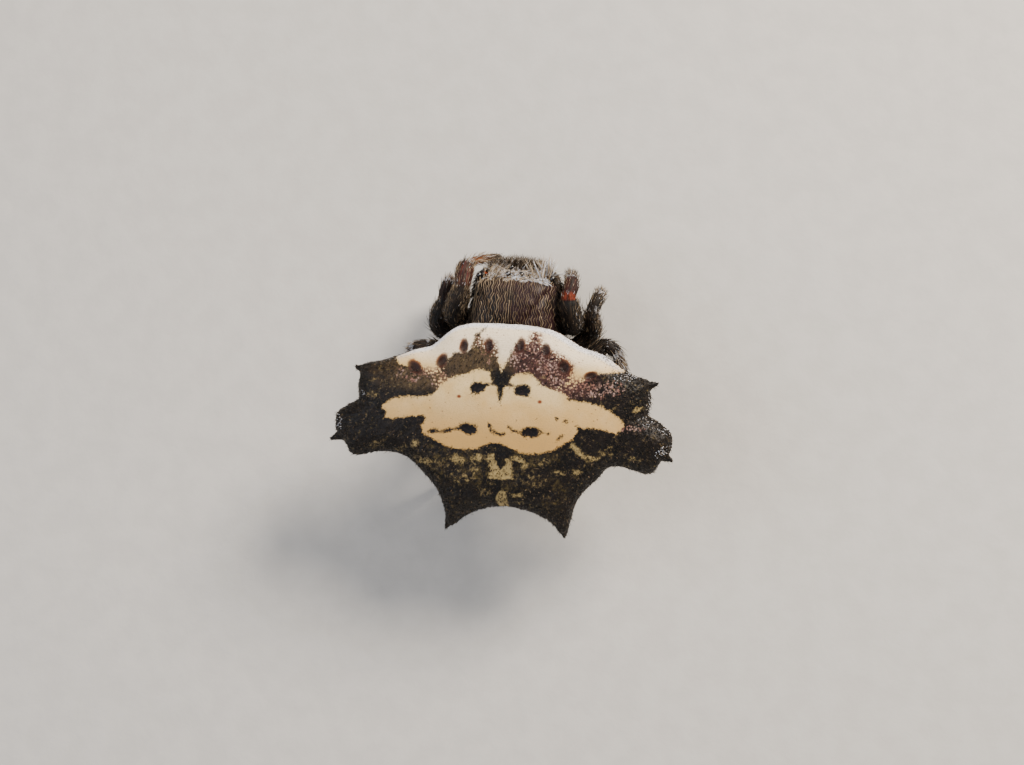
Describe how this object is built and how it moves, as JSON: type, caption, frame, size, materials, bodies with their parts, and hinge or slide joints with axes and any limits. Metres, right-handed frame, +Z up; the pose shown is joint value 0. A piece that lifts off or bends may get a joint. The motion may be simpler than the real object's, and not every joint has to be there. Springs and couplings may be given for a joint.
{
  "type": "spiny orb weaver spider model",
  "caption": "Life-size still model of a female spiny orb weaver: wide cream and black abdomen with spines at the corners, legs drawn in round the head.",
  "frame": {"origin": "on the floor under the middle of the bounding box", "axes": "+X to the animal's left, across the widest spines; +Z up, the shortest extent; the head faces -Y"},
  "size_m": [0.0098, 0.0086, 0.0048],
  "materials": {
    "shield": "hard chitin shield, cream with black and brown markings, black granular spines",
    "cuticle": "dark brown chitin with fine pale hairs",
    "legs": "black chitin with rust-red bands and short pale hairs",
    "eyes": "glossy dark lens"
  },
  "bodies": {
    "root": {"abdomen": "shield", "carapace": "cuticle", "sternum": "cuticle", "pedicel": "cuticle", "spinnerets": "cuticle", "chelicera_left": "cuticle", "pedipalp_left": "legs", "chelicera_right": "cuticle", "pedipalp_right": "legs", "eye_front_middle_left": "eyes", "eye_front_middle_right": "eyes", "eye_front_side_left": "eyes", "eye_front_side_right": "eyes", "eye_rear_middle_left": "eyes", "eye_rear_middle_right": "eyes", "eye_rear_side_left": "eyes", "eye_rear_side_right": "eyes", "leg_left_1_coxa": "legs", "leg_left_1_femur": "legs", "leg_left_1_tibia": "legs", "leg_left_1_foot": "legs", "leg_left_2_coxa": "legs", "leg_left_2_femur": "legs", "leg_left_2_tibia": "legs", "leg_left_2_foot": "legs", "leg_left_3_coxa": "legs", "leg_left_3_femur": "legs", "leg_left_3_tibia": "legs", "leg_left_3_foot": "legs", "leg_left_4_coxa": "legs", "leg_left_4_femur": "legs", "leg_left_4_tibia": "legs", "leg_left_4_foot": "legs", "leg_right_1_coxa": "legs", "leg_right_1_femur": "legs", "leg_right_1_tibia": "legs", "leg_right_1_foot": "legs", "leg_right_2_coxa": "legs", "leg_right_2_femur": "legs", "leg_right_2_tibia": "legs", "leg_right_2_foot": "legs", "leg_right_3_coxa": "legs", "leg_right_3_femur": "legs", "leg_right_3_tibia": "legs", "leg_right_3_foot": "legs", "leg_right_4_coxa": "legs", "leg_right_4_femur": "legs", "leg_right_4_tibia": "legs", "leg_right_4_foot": "legs"}
  },
  "joints": []
}
